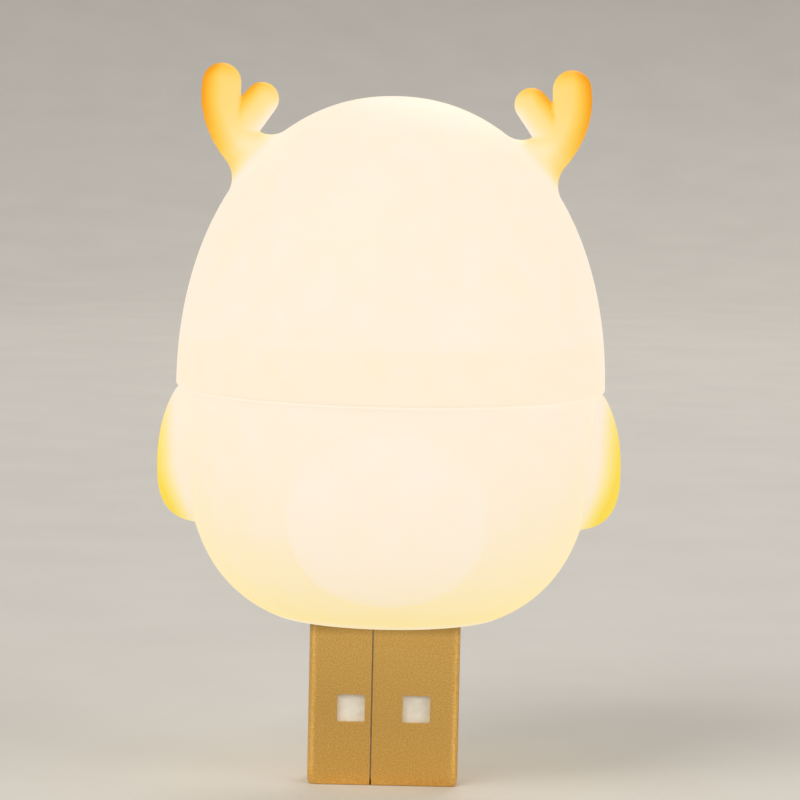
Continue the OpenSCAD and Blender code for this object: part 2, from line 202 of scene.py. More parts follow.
def round_cone(x, y, z, start, end, start_r, end_r):
    """The hull of two balls whose centres lie in the plane y = 0."""
    run = np.subtract(end, start)
    length = np.hypot(*run)
    along = ((x - start[0]) * run[0] + (z - start[1]) * run[1]) / length
    side = ((x - start[0]) * run[1] - (z - start[1]) * run[0]) / length
    across = np.hypot(side, y)
    lean = (start_r - end_r) / length
    near = np.clip(along - across * lean / math.sqrt(1 - lean**2), 0, length)
    return np.hypot(along - near, across) - (start_r + (end_r - start_r) * near / length)


def fillet_union(a, b, r):
    """Both shapes, with a round fillet of radius r where they meet."""
    return np.maximum(np.minimum(a, b), r) - np.hypot(np.maximum(r - a, 0), np.maximum(r - b, 0))


def round_overlap(a, b, r):
    """What two shapes share, with the edge between them rounded to radius r."""
    return np.minimum(np.maximum(a, b), -r) + np.hypot(np.maximum(a + r, 0), np.maximum(b + r, 0))


def rounded_rectangle(x, y, w, t, r):
    """A rectangle of w by t with round corners."""
    dx = np.abs(x) - (w / 2 - r)
    dy = np.abs(y) - (t / 2 - r)
    return np.minimum(np.maximum(dx, dy), 0) + np.hypot(np.maximum(dx, 0), np.maximum(dy, 0)) - r


def smooth_between(values, low, high):
    """0 up to low, 1 from high on, and a smooth rise between."""
    share = np.clip((values - low) / (high - low), 0, 1)
    return share * share * (3 - 2 * share)


def tine_field(x, y, z):
    """The main tine on the +X side, as a chain of round cones along its curve; z counts from the rim."""
    root, control, tip = map(np.array, ANTLER_CURVE)
    shares = np.linspace(0, 1, ANTLER_LINKS + 1)
    spots = [(1 - s) ** 2 * root + 2 * s * (1 - s) * control + s**2 * tip for s in shares]
    sizes = ANTLER_ROOT_R + shares * (TINE_TIP_R - ANTLER_ROOT_R)
    links = [round_cone(x, y, z, *spots[i : i + 2], *sizes[i : i + 2]) for i in range(ANTLER_LINKS)]
    return np.minimum.reduce(links)


def head_hollow(x, y, z):
    """The head's bore with its lead-in, the ledge, and the inside of the dome."""
    r = np.hypot(x, y)
    bore = np.maximum(r - BORE_R, z - SPIGOT_TOP)
    mouth = (r + z - (BORE_R + LEAD_IN + RIM_Z)) / math.sqrt(2)
    dome = superellipse(r, z - RIM_Z, DOME_R, DOME_H, HEAD_FULLNESS)
    return np.minimum(np.minimum(bore, np.maximum(mouth, z - RIM_Z - LEAD_IN)), dome)


def head_field(x, y, z):
    """The head with its antlers, hollow inside, and the guide rib on its back."""
    r = np.hypot(x, y)
    side = np.abs(x)
    dome = superellipse(r, z - RIM_Z, HEAD_R, HEAD_H, HEAD_FULLNESS)
    outside = round_overlap(dome, RIM_Z - z, RIM_ROUND)
    outside = fillet_union(outside, tine_field(side, y, z - RIM_Z), ANTLER_FILLET)
    fork = round_cone(side, y, z - RIM_Z, FORK_FOOT, FORK_TIP, FORK_FOOT_R, FORK_TIP_R)
    outside = fillet_union(outside, fork, FORK_FILLET)
    shell = np.maximum(outside, -head_hollow(x, y, z))
    rib = np.maximum(np.maximum(side - KEY_W / 2, BORE_R - KEY_DEPTH - y), r - (BORE_R + HEAD_R) / 2)
    rib = np.maximum(rib, np.maximum(RIM_Z + KEY_GAP - z, z - SPIGOT_TOP))
    return np.minimum(shell, rib)


def bowl(r, z, step=0.0):
    """The lower round of the body, grown by an even step."""
    return superellipse(r, BODY_MID - z, BODY_R + step, BODY_ROUND_H + step, BODY_FULLNESS)


def body_hollow(x, y, z):
    """The body's cavity, which narrows to the spigot's bore."""
    r = np.hypot(x, y)
    cavity = superellipse(r, BODY_MID - z, CAVITY_R, CAVITY_H, BODY_FULLNESS)
    cone = (r + z - (CAVITY_R + BODY_MID)) / math.sqrt(2)
    room = round_overlap(np.maximum(cavity, cone), FLOOR_T - z, FLOOR_FILLET)
    return np.minimum(room, np.maximum(r - SPIGOT_IN_R, BODY_MID - z))


def arm_field(x, y, z):
    """The arm on the +X side, narrow at the shoulder and full below."""
    out = np.hypot(x - ARM_X, y * ARM_REACH / ARM_HALF_Y)
    rise = z - ARM_Z
    above = superellipse(out, rise, ARM_REACH, ARM_UP, ARM_UP_FULLNESS)
    below = superellipse(out, -rise, ARM_REACH, ARM_DOWN, ARM_DOWN_FULLNESS)
    return np.where(rise > 0, above, below)


def belly_column(x, y, z):
    """The long round column that marks the belly out, and the distance along its axis towards the front."""
    rise = z - BELLY_AIM_Z
    up = -math.sin(BELLY_TILT) * y + math.cos(BELLY_TILT) * rise
    ahead = -math.cos(BELLY_TILT) * y - math.sin(BELLY_TILT) * rise
    return np.hypot(np.maximum(np.abs(x) - BELLY_END_X, 0), up) - BELLY_END_R, ahead


def body_field(x, y, z):
    """The body with its arms and spigot, and its cuts for the plug, screws, rib and belly."""
    r = np.hypot(x, y)
    side = np.abs(x)
    outside = round_overlap(bowl(r, z), -z, SEAT_ROUND)
    middle = smooth_between(z, ARM_BLEND_FOOT, ARM_Z)
    middle = middle * smooth_between(SHOULDER_Z - z, ARM_BLEND_NEAR, ARM_BLEND_FAR)
    outside = fillet_union(outside, arm_field(side, y, z), ARM_FILLET + (ARM_BLEND - ARM_FILLET) * middle)
    outside = round_overlap(outside, z - SHOULDER_Z, SHOULDER_ROUND)
    chamfer = (r + z - (SPIGOT_R + SPIGOT_TOP - LEAD_IN)) / math.sqrt(2)
    spigot = np.maximum(np.maximum(r - SPIGOT_R, chamfer), np.maximum(z - SPIGOT_TOP, BODY_MID - z))
    from_boss = np.hypot(side - BOSS_X, y)
    boss = np.maximum(from_boss - BOSS_R, z - BOSS_TOP)
    room = round_overlap(body_hollow(x, y, z), -boss, LEAD_IN)
    shell = np.maximum(np.minimum(outside, spigot), -room)
    hole = np.maximum(from_boss - BOSS_HOLE_R, BOSS_HOLE_Z - z)
    slot = rounded_rectangle(x, y, PLUG_W + 2 * SLOT_GAP, PLUG_T + 2 * SLOT_GAP, PLUG_ROUND + SLOT_GAP)
    slot = np.maximum(slot, z - BOSS_TOP)
    key = np.maximum(np.maximum(side - KEY_W / 2 - KEY_GAP, CAVITY_R / 2 - y), RIM_Z - z)
    column, ahead = belly_column(x, y, z)
    pocket = np.maximum(np.maximum(column, -ahead), -bowl(r, z, -BELLY_POCKET))
    cuts = np.minimum(np.minimum(hole, slot), np.minimum(key, pocket))
    return np.maximum(shell, -cuts)


def belly_field(x, y, z):
    """The inlay in the belly's pocket, a little proud in the middle."""
    r = np.hypot(x, y)
    column, ahead = belly_column(x, y, z)
    proud = BELLY_PROUD * smooth_between(-column, 0, BELLY_FEATHER)
    face = round_overlap(column + BELLY_GAP, bowl(r, z) - proud, BELLY_EDGE)
    return np.maximum(np.maximum(face, -ahead), -bowl(r, z, BELLY_GAP - BELLY_POCKET))


def plug_field(x, y, z):
    """The plug's folded sheet, with its seam, windows, drawn-in tip and two tabs."""
    inward = TIP_TAPER * np.clip((PLUG_TIP + TIP_L - z) / TIP_L, 0, 1) ** 2
    outline = rounded_rectangle(x, y, PLUG_W, PLUG_T, PLUG_ROUND) + inward
    thick = np.abs(outline + SHEET_T / 2) - SHEET_T / 2
    sheet = round_overlap(thick, np.maximum(PLUG_TIP - z, z - PLUG_TOP), SHEET_EDGE)
    window = rounded_rectangle(np.abs(x) - WINDOW_X, z - WINDOW_Z, WINDOW_W, WINDOW_W, WINDOW_ROUND)
    seam = np.maximum(np.abs(x - SEAM_X) - SEAM_W / 2, y)
    sheet = np.maximum(sheet, -np.minimum(window, seam))
    tab = np.maximum(np.abs(y) - TAB_W / 2, np.abs(z - FLOOR_T - SHEET_T / 2) - SHEET_T / 2)
    tab = np.maximum(tab, np.abs(np.abs(x) - PLUG_W / 2 - (TAB_OUT - SHEET_T) / 2) - (TAB_OUT + SHEET_T) / 2)
    return np.minimum(sheet, tab)


# Meshing of a field


def levels(*runs):
    """Grid levels through runs of (from, to, step)."""
    parts = [np.linspace(low, high, round((high - low) / step), endpoint=False) for low, high, step in runs]
    return np.concatenate(parts + [[runs[-1][1]]])


def gradient(field, points, step=0.01):
    """The field's slope at each point."""
    slopes = []
    for axis in range(3):
        move = np.zeros(3)
        move[axis] = step
        slopes.append((field(*(points + move).T) - field(*(points - move).T)) / (2 * step))
    return np.stack(slopes, 1)


def unit(vectors):
    """The vectors at length one."""
    return vectors / np.maximum(np.linalg.norm(vectors, axis=1, keepdims=True), LEAST_LENGTH)


def crossings(field, start, end, start_inside, rounds=14):
    """The points between start and end where the field is zero, by halving."""
    low = np.zeros(len(start))
    high = np.ones(len(start))
    for _ in range(rounds):
        middle = (low + high) / 2
        inside = field(*(start + middle[:, None] * (end - start)).T) < 0
        before = inside == start_inside
        low = np.where(before, middle, low)
        high = np.where(before, high, middle)
    return start + ((low + high) / 2)[:, None] * (end - start)


def grid_edges(inside, counts):
    """The crossed edges of a grid that goes round: first index, axis, and the four cells round each."""
    starts, axes, cells = [], [], []
    for axis in range(3):
        there = np.roll(inside, -1, axis)
        crossed = inside != there
        if axis > 0:
            crossed[(slice(None),) * axis + (-1,)] = False
        start = np.argwhere(crossed)
        second, third = (axis + 1) % 3, (axis + 2) % 3
        around = np.repeat(start[:, None, :], 4, 1)
        around[:, (0, 1), second] -= 1
        around[:, (1, 2), third] -= 1
        around[..., 0] = np.where(around[..., 1] > 0, around[..., 0] % counts[0], 0)
        starts.append(start)
        axes.append(np.full(len(start), axis))
        cells.append(around)
    return np.concatenate(starts), np.concatenate(axes), np.concatenate(cells)


def meeting_points(points, normals, owner, count, crease=0.1, reach=0.45):
    """For each cell, where the planes through its crossings meet, and whether that lies on a crease."""

    def total(values):
        return np.bincount(owner, values, count)

    mean = np.stack([total(points[:, c]) for c in range(3)], 1) / total(np.ones(len(owner)))[:, None]
    off = ((points - mean[owner]) * normals).sum(1)
    pull = np.stack([total(normals[:, c] * off) for c in range(3)], 1)
    spread = np.empty((count, 3, 3))
    for a in range(3):
        for b in range(3):
            spread[:, a, b] = total(normals[:, a] * normals[:, b])
    sizes, axes = np.linalg.eigh(spread)
    strong = sizes > crease * sizes[:, -1:]
    turned = np.einsum("nij,ni->nj", axes, pull) * np.where(strong, 1 / np.maximum(sizes, LEAST_LENGTH), 0)
    shift = np.einsum("nij,nj->ni", axes, turned)
    far = np.linalg.norm(shift, axis=1, keepdims=True)
    return mean + shift * np.minimum(1, reach / np.maximum(far, LEAST_LENGTH)), strong.sum(1) > 1


def relax(field, points, quads, fixed, rounds=4):
    """Evens out the points that lie on no crease, each round back onto the surface."""
    pairs = np.concatenate([quads[:, (a, (a + 1) % 4)] for a in range(4)])
    ends = np.concatenate([pairs, pairs[:, ::-1]])
    share = np.bincount(ends[:, 0], minlength=len(points))
    free = np.flatnonzero(~fixed)
    for _ in range(rounds):
        mean = np.stack([np.bincount(ends[:, 0], points[ends[:, 1], c], len(points)) for c in range(3)], 1)
        moved = (points[free] + mean[free] / share[free, None]) / 2
        slope = gradient(field, moved)
        steep = np.maximum((slope**2).sum(1), LEAST_SLOPE)
        points[free] = moved - slope * (field(*moved.T) / steep)[:, None]
    return points


def polar(degrees):
    """Grid columns that fan out from the axis, as the start and the outward direction of each."""
    angles = np.radians(degrees[:-1])
    outward = np.stack([np.cos(angles), np.sin(angles)], 1)
    return np.zeros_like(outward), outward


def wrapped(w, t, r, step, arc=8):
    """Grid columns that stand on the outline of a rectangle of w by t with round corners."""
    starts, outward = [], []
    middles = np.array([(1, 1), (-1, 1), (-1, -1), (1, -1)]) * (w / 2 - r, t / 2 - r)
    for quarter, middle in enumerate(middles):
        for turn in np.linspace(quarter, quarter + 1, arc + 1) * math.pi / 2:
            out = np.array([math.cos(turn), math.sin(turn)])
            starts.append(middle + r * out)
            outward.append(out)
        run = middles[(quarter + 1) % 4] - middle
        count = max(round(np.abs(run).max() / step), 1)
        for share in np.arange(1, count) / count:
            starts.append(middle + run * share + r * out)
            outward.append(out)
    return np.array(starts), np.array(outward)


def contour(field, columns, outs, heights):
    """Points and faces of the surface field = 0, by dual contouring.

    The grid has columns, distances and heights. Each crossed cell gets one point and each crossed grid edge
    one quad. Cells at the axis share one point.
    """
    bases, outward = columns
    counts = (len(bases), len(outs), len(heights))

    def place(index):
        column = index[..., 0] % counts[0]
        flat = bases[column] + outward[column] * outs[index[..., 1]][..., None]
        return np.concatenate([flat, heights[index[..., 2]][..., None]], -1)

    grid = place(np.stack(np.meshgrid(*map(np.arange, counts), indexing="ij"), -1))
    inside = field(grid[..., 0], grid[..., 1], grid[..., 2]) < 0
    starts, axes, cells = grid_edges(inside, counts)
    start_inside = inside[tuple(starts.T)]
    points = crossings(field, place(starts), place(starts + np.eye(3, dtype=int)[axes]), start_inside)
    normals = unit(gradient(field, points))
    keys = (cells[..., 0] * counts[1] + cells[..., 1]) * counts[2] + cells[..., 2]
    names, owner = np.unique(keys, return_inverse=True)
    owner = owner.reshape(keys.shape)
    made, fixed = meeting_points(np.repeat(points, 4, 0), np.repeat(normals, 4, 0), owner.ravel(), len(names))
    quads = np.where(start_inside[:, None], owner[:, ::-1], owner)
    used, quads = np.unique(quads[~((axes == 2) & (starts[:, 1] == 0))], return_inverse=True)
    quads = quads.reshape(-1, 4)
    return relax(field, made[used], quads, fixed[used]), quads


SHARP = math.radians(38)
EDGE_TURNS = np.radians((0, 30, 60, 90))
CORNER_STEPS = 4


def mesh_object(name, points, faces):
    """A new object with these points, in millimetres, and faces."""
    mesh = bpy.data.meshes.new(name)
    mesh.from_pydata((np.asarray(points) * MM).tolist(), [], [list(dict.fromkeys(face)) for face in faces])
    mesh.validate()
    for polygon in mesh.polygons:
        polygon.use_smooth = True
    made = bpy.data.objects.new(name, mesh)
    bpy.context.scene.collection.objects.link(made)
    return made


def stack(rings):
    """Points and faces of a closed body through rings of points in turn, with a cap at both ends."""
    count = len(rings[0])
    faces = [range(count), range((len(rings) - 1) * count, len(rings) * count)]
    for row in range(len(rings) - 1):
        for i in range(count):
            j = (i + 1) % count
            faces.append((row * count + i, row * count + j, (row + 1) * count + j, (row + 1) * count + i))
    return np.concatenate(rings), faces


def oblong(w, h, r, level):
    """A ring of points: a rectangle of w by h with round corners, at a level over the face it stands on."""
    flat, _ = wrapped(w, h, r, w + h, CORNER_STEPS)
    return np.column_stack([flat, np.full(len(flat), level)])


def block(w, h, low, high, edge, corner):
    """The rings of a block with round edges, from its low level to its high one."""
    rings = []
    for turn in EDGE_TURNS:
        inset = edge * (1 - math.sin(turn))
        rings.append((inset, low + edge * (1 - math.cos(turn))))
    for turn in EDGE_TURNS[::-1]:
        inset = edge * (1 - math.sin(turn))
        rings.append((inset, high - edge * (1 - math.cos(turn))))
    return [oblong(w - 2 * inset, h - 2 * inset, corner - inset, level) for inset, level in rings]


def on_board(rings, x, z, facing):
    """Rings set on the board's front (-1) or back (1) face at x and z, with their levels away from it."""
    face = BOARD_BOX[max(facing, 0)][1]
    return [np.column_stack([x + ring[:, 0], face + facing * ring[:, 2], z + ring[:, 1]]) for ring in rings]


BODY = 0.0
TRACE = 0.5
METAL = 1.0


def built_piece(name, parts):
    """A piece of several closed bodies, each given by its rings and by how far it is bare metal."""
    points, faces, metal = [], [], []
    for rings, share in parts:
        body_points, body_faces = stack(rings)
        start = len(metal)
        faces += [[start + i for i in face] for face in body_faces]
        points.append(body_points)
        metal += [share] * len(body_points)
    piece = mesh_object(name, np.concatenate(points), faces)
    shape = bmesh.new()
    shape.from_mesh(piece.data)
    bmesh.ops.recalc_face_normals(shape, faces=shape.faces)
    shape.to_mesh(piece.data)
    shape.free()
    piece.data.set_sharp_from_angle(angle=SHARP)
    set_attribute(piece, "metal", metal)
    return piece


def set_attribute(piece, name, values):
    """One number per point for the piece's material to read."""
    layer = piece.data.attributes.new(name, "FLOAT", "POINT")
    layer.data.foreach_set("value", np.asarray(values, np.float32))


def dress(piece, material, body, slot, *nodes):
    """Gives a piece its material and its body, and hides the nodes that it stands for; the slot is not used.
    """
    piece.data.materials.clear()
    piece.data.materials.append(material)
    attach(piece, body)
    if nodes:
        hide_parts(*nodes)
    return piece


# How amber the lit plastic looks, from 0 for white-hot to 1 for deep orange

# Head, by the millimetres of plastic between a point and the hollow, and by the side that it faces
ANTLER_DEEP = 0.66
ANTLER_FADE = 1.09
FADE_START = 1.2
FADE_LEAST = 2.0
HEAD_PLAIN = 0.015
HEAD_COLLAR = 0.02
COLLAR_FADE = 0.8
ANTLER_OUTWARD = 0.52
ANTLER_TOP = 0.36
ANTLER_UNDER = -0.4
UNDER_LEAN = math.radians(17.5)

# Body, by height and towards its sides
BODY_PLAIN = 0.008
BODY_LOW = 0.3
BODY_FADE = 5.2
SEAT_SHARE = 0.36
SEAT_RISE = 0.7
SIDE_LOW = 0.13
SIDE_END_Z = 22.0
SIDE_POWER = 4

# Arms, by the plastic up to the hollow, by height and by side
ARM_PER_MM = 0.5
ARM_START = 2.4
ARM_LOW = 0.55
ARM_LOW_Z = 7.0
ARM_HIGH_Z = 12.0
ARM_LOW_POWER = 1.5
ARM_END = 1.55
ARM_END_RISE = 0.6
ARM_MARGIN = 0.2
ARM_RIGHT = 0.13

# Belly, by height and towards its edge
BELLY_PLAIN = 0.01
BELLY_LOW = 0.22
BELLY_FADE = 3.3
BELLY_EDGE_SHARE = 0.4
BELLY_EDGE_FADE = 0.7

# How softly one amber changes to another
AMBER_SOFT = 0.08


def fading_up(height, plain, low, fade):
    """An amber that falls from the seat upwards towards its plain value."""
    return plain + low * np.exp(-np.maximum(height, 0) / fade)


def soft_greater(a, b):
    """The greater of two ambers, with a soft change from one to the other."""
    return (a + b + np.hypot(a - b, AMBER_SOFT)) / 2


def head_amber(points, normals):
    """More amber further from the hollow that holds the lights, and whiter on sides that face it."""
    outward = normals[:, 0] * np.sign(points[:, 0])
    upward = normals[:, 2]
    under = -outward * math.sin(UNDER_LEAN) - upward * math.cos(UNDER_LEAN)
    depth = np.maximum(head_hollow(*points.T), FADE_LEAST)
    antler = ANTLER_DEEP - ANTLER_FADE / (depth - FADE_START) + ANTLER_OUTWARD * np.maximum(outward, 0)
    antler += ANTLER_TOP * np.maximum(upward, 0) ** 2 + ANTLER_UNDER * np.maximum(under, 0) ** 2
    collar = HEAD_COLLAR * smooth_between(SPIGOT_TOP + COLLAR_FADE - points[:, 2], 0, COLLAR_FADE)
    return soft_greater(antler, HEAD_PLAIN + collar)


def plain_amber(points, normals):
    """The body away from its arms: yellower towards the seat and round the sides, and whiter again just at
    the seat.
    """
    height = points[:, 2]
    # Whiter in a thin band at the seat: painted light leaking out round the plug's slot
    seat = SEAT_SHARE + (1 - SEAT_SHARE) * smooth_between(height, 0, SEAT_RISE)
    # Yellower on faces turned to ±X: the lit plastic's yellow outline, painted on by side
    side = SIDE_LOW * np.maximum(1 - height / SIDE_END_Z, 0)
    return fading_up(height, BODY_PLAIN, BODY_LOW, BODY_FADE) * seat + side * normals[:, 0] ** SIDE_POWER


def body_amber(points, normals):
    """The plain body, with arms that are more amber further from the hollow and lower down."""
    x, y, z = points.T
    low = np.clip((ARM_HIGH_Z - z) / (ARM_HIGH_Z - ARM_LOW_Z), 0, 1)
    arm = ARM_PER_MM * (body_hollow(x, y, z) - ARM_START) + ARM_LOW * low**ARM_LOW_POWER
    arm -= ARM_END * np.clip((ARM_LOW_Z - z) / ARM_END_RISE, 0, 1)
    arm += ARM_RIGHT * (x > 0) - np.maximum(arm_field(np.abs(x), y, z) - ARM_MARGIN, 0)
    return soft_greater(arm, plain_amber(points, normals))


def belly_amber(points, normals):
    """Whiter than the body round it, which it comes near to at its edge."""
    column, _ = belly_column(*points.T)
    own = fading_up(points[:, 2], BELLY_PLAIN, BELLY_LOW, BELLY_FADE)
    edge = BELLY_EDGE_SHARE * (1 - smooth_between(-column, 0, BELLY_EDGE_FADE))
    return own + (plain_amber(points, normals) - own) * edge


# Materials


def srgb(red, green, blue):
    """A screen colour, 0 to 255, as a linear colour."""
    shares = [value / 255 for value in (red, green, blue)]
    return tuple(v / 12.92 if v <= 0.04045 else ((v + 0.055) / 1.055) ** 2.4 for v in shares) + (1.0,)


def new_material(name):
    """A new material with its node tree and its main shader."""
    made = bpy.data.materials.new(name)
    made.use_nodes = True
    return made, made.node_tree, made.node_tree.nodes["Principled BSDF"]


def add(tree, kind, settings=(), **inputs):
    """A new shader node, with its settings and with its inputs linked or set."""
    made = tree.nodes.new("ShaderNode" + kind)
    for key, value in dict(settings).items():
        setattr(made, key, value)
    for key, value in inputs.items():
        feed(tree, made, key.replace("_", " "), value)
    return made


def feed(tree, made, key, value):
    """Links or sets one input of a node, by its name or number."""
    if isinstance(value, bpy.types.NodeSocket):
        tree.links.new(value, made.inputs[key])
    else:
        made.inputs[key].default_value = value


def add_math(tree, operation, first, second):
    """A sum, product or test of two values."""
    made = add(tree, "Math", {"operation": operation})
    feed(tree, made, 0, first)
    feed(tree, made, 1, second)
    return made.outputs["Value"]


def add_ramp(tree, factor, *stops):
    """A colour ramp through (place, colour) stops."""
    made = add(tree, "ValToRGB", Fac=factor)
    marks = made.color_ramp.elements
    while len(marks) < len(stops):
        marks.new(1.0)
    for mark, (place, colour) in zip(marks, stops):
        mark.position = place
        mark.color = colour
    return made.outputs["Color"]


def add_noise(tree, scale, detail=3.0, stretch=None):
    """Noise in the piece's own space, with features about 1/scale metres wide."""
    coordinates = add(tree, "TexCoord").outputs["Object"]
    if stretch:
        coordinates = add(tree, "Mapping", Vector=coordinates, Scale=stretch).outputs["Vector"]
    return add(tree, "TexNoise", Vector=coordinates, Scale=scale, Detail=detail).outputs["Fac"]


NOISE_LOW = 0.3
NOISE_HIGH = 0.7


def grain_stops(dark, light):
    """Ramp stops for the range that most of a noise lies in."""
    return (NOISE_LOW, srgb(*dark)), (NOISE_HIGH, srgb(*light))


def add_range(tree, value, low, high, from_low=NOISE_LOW, from_high=NOISE_HIGH):
    """A value spread evenly between two others."""
    made = add(tree, "MapRange", Value=value)
    for key, number in zip(("From Min", "From Max", "To Min", "To Max"), (from_low, from_high, low, high)):
        made.inputs[key].default_value = number
    return made.outputs["Result"]


def add_bump(tree, shader, height, strength, distance):
    """Bump from a height, in millimetres of depth."""
    bump = add(tree, "Bump", Height=height, Strength=strength, Distance=distance * MM)
    tree.links.new(bump.outputs["Normal"], shader.inputs["Normal"])


HEAD_STOPS = (
    (0.0, srgb(255, 241, 223)),
    (0.1, srgb(255, 237, 200)),
    (0.2, srgb(255, 234, 180)),
    (0.35, srgb(254, 226, 150)),
    (0.55, srgb(254, 214, 110)),
    (0.7, srgb(253, 203, 78)),
    (0.9, srgb(253, 176, 38)),
    (1.0, srgb(246, 158, 24)),
)
BODY_STOPS = (
    (0.0, srgb(255, 241, 224)),
    (0.1, srgb(255, 237, 203)),
    (0.2, srgb(255, 236, 183)),
    (0.35, srgb(255, 232, 152)),
    (0.55, srgb(253, 227, 112)),
    (0.7, srgb(252, 220, 82)),
)
OWN_LIGHT = 0.88


def lamp_plastic(name, stops):
    """Milky satin plastic with light coming through it, yellower where less light comes through.

    Most of its look is its own light, and the rest is the studio's.
    """
    made, tree, shader = new_material(name)
    amber = add(tree, "Attribute", {"attribute_name": "amber"}).outputs["Fac"]
    cloud = add_range(tree, add_noise(tree, scale=420.0, detail=2.0), low=-0.012, high=0.012)
    colour = add_ramp(tree, add_math(tree, "ADD", amber, cloud), *stops)
    dim = add(tree, "VectorMath", {"operation": "SCALE"}, Vector=colour, Scale=1 - OWN_LIGHT)
    feed(tree, shader, "Base Color", dim.outputs["Vector"])
    feed(tree, shader, "Emission Color", colour)
    feed(tree, shader, "Emission Strength", OWN_LIGHT)
    feed(tree, shader, "Specular IOR Level", 0.08)
    feed(tree, shader, "Roughness", add_range(tree, add_noise(tree, scale=2600.0), low=0.5, high=0.62))
    add_bump(tree, shader, add_noise(tree, scale=5200.0, detail=2.0), strength=0.25, distance=0.01)
    return made


GRAIN_SHARE = 0.1
GRAIN_SHADE = 0.95
BARE_METAL = 0.75
ROUGH_SCALE = 1.7
TIN = (226, 224, 216)


def grained(name, stops, scale, rough, metallic=0.0, bump=0.01, stretch=None, tinned=False):
    """A surface whose colour runs through the stops with its grain, or from coat to tin if tinned."""
    made, tree, shader = new_material(name)
    grain = add_noise(tree, scale, stretch=stretch)
    factor = grain
    if tinned:
        metal = add(tree, "Attribute", {"attribute_name": "metal"}).outputs["Fac"]
        parts = add_math(tree, "MULTIPLY", metal, 1 - GRAIN_SHARE)
        factor = add_math(tree, "ADD", parts, add_math(tree, "MULTIPLY", grain, GRAIN_SHARE))
        metallic = add_math(tree, "GREATER_THAN", metal, BARE_METAL)
    feed(tree, shader, "Base Color", add_ramp(tree, factor, *stops))
    feed(tree, shader, "Metallic", metallic)
    fine = add_noise(tree, scale * ROUGH_SCALE, stretch=stretch)
    feed(tree, shader, "Roughness", add_range(tree, fine, *rough))
    add_bump(tree, shader, grain, strength=0.4, distance=bump)
    return made


def tinned_stops(body, trace=None):
    """Ramp stops for a body, for traces under its coat, and for bare tin."""
    pairs = ((BODY, body), (TRACE, trace or body), (METAL, TIN))
    stops = []
    for place, colour in pairs:
        low = place * (1 - GRAIN_SHARE)
        shade = [GRAIN_SHADE * value for value in colour]
        stops.append((low + NOISE_LOW * GRAIN_SHARE, srgb(*shade)))
        stops.append((low + NOISE_HIGH * GRAIN_SHARE, srgb(*colour)))
    return stops


def phosphor_gel():
    """Yellow phosphor gel with its light on."""
    made, tree, shader = new_material("phosphor_gel")
    grain = add_noise(tree, scale=2400.0)
    own = add_ramp(tree, grain, *grain_stops((118, 96, 50), (126, 104, 58)))
    light = add_ramp(tree, grain, *grain_stops((255, 222, 150), (255, 230, 170)))
    feed(tree, shader, "Base Color", own)
    feed(tree, shader, "Emission Color", light)
    feed(tree, shader, "Emission Strength", OWN_LIGHT)
    feed(tree, shader, "Roughness", add_range(tree, add_noise(tree, scale=3000.0), low=0.18, high=0.3))
    add_bump(tree, shader, grain, strength=0.3, distance=0.01)
    return made


def plug_metal():
    """Plated sheet with fine specks and faint clouds, its gold tint painted warm light on nickel plate, and
    darker just under the seat with painted shade.
    """
    made, tree, shader = new_material("plug_plate")
    specks = add_noise(tree, scale=8000.0)
    # Gold tint painted in for warm light falling on what is nickel plate
    colour = add_ramp(tree, specks, *grain_stops((230, 174, 84), (252, 210, 126)))
    height = add(tree, "SeparateXYZ", Vector=add(tree, "TexCoord").outputs["Object"]).outputs["Z"]
    # Painted shade: the colour darkens towards the seat, standing in for the shadowed gap under the body
    painted_seat_shade = add_range(tree, height, low=1.0, high=0.25, from_low=-1.5 * MM, from_high=0.0)
    seat_shaded_colour = add(tree, "VectorMath", {"operation": "SCALE"}, Vector=colour, Scale=painted_seat_shade)
    feed(tree, shader, "Base Color", seat_shaded_colour.outputs["Vector"])
    feed(tree, shader, "Metallic", 1.0)
    feed(tree, shader, "Roughness", add_range(tree, add_noise(tree, scale=300.0), low=0.12, high=0.22))
    add_bump(tree, shader, specks, strength=0.2, distance=0.002)
    return made


def floor_material():
    """Plain pale paper."""
    made, tree, shader = new_material("floor_paper")
    grain = add_noise(tree, scale=60.0, detail=4.0)
    colour = add_ramp(tree, grain, *grain_stops((203, 200, 195), (207, 204, 199)))
    feed(tree, shader, "Base Color", colour)
    feed(tree, shader, "Roughness", 0.7)
    feed(tree, shader, "Specular IOR Level", 0.2)
    return made


# Pieces


def glowing_piece(name, field, amber, stops, body, slot, node, degrees, outs, heights):
    """A piece of lit plastic from its field, on a grid that fans out from the axis."""
    points, quads = contour(field, polar(degrees), outs, heights)
    piece = mesh_object(name, points, quads.tolist())
    piece.data.set_sharp_from_angle(angle=SHARP)
    set_attribute(piece, "amber", amber(points, unit(gradient(field, points))))
    return dress(piece, lamp_plastic(name + "_plastic", stops), body, slot, node)


FAN = 32
FINE_TURN = 0.9
WIDE_TURN = 1.3
CELL = 0.31
ROUND = levels(
    (-FAN, FAN, FINE_TURN), (FAN, 180 - FAN, WIDE_TURN),
    (180 - FAN, 180 + FAN, FINE_TURN), (180 + FAN, 360 - FAN, WIDE_TURN),
)
glowing_piece(
    "head_diffuser", head_field, head_amber, HEAD_STOPS, "head", "head_plastic", "head_shell",
    degrees=ROUND,
    outs=levels((0, 17.8, CELL)),
    heights=levels((RIM_Z - 0.3, RIM_Z + 1.0, 0.13), (RIM_Z + 1.0, HEAD_BOX[1][2] + 0.6, CELL)),
)
glowing_piece(
    "body_diffuser", body_field, body_amber, BODY_STOPS, "base", "body_plastic", "body_shell",
    degrees=ROUND,
    outs=levels((1.5, 19.1, CELL)),
    heights=levels(
        (-0.5, 0.7, 0.15), (0.7, 17.1, CELL), (17.1, 18.3, 0.12), (18.3, SPIGOT_TOP + 0.5, CELL),
    ),
)
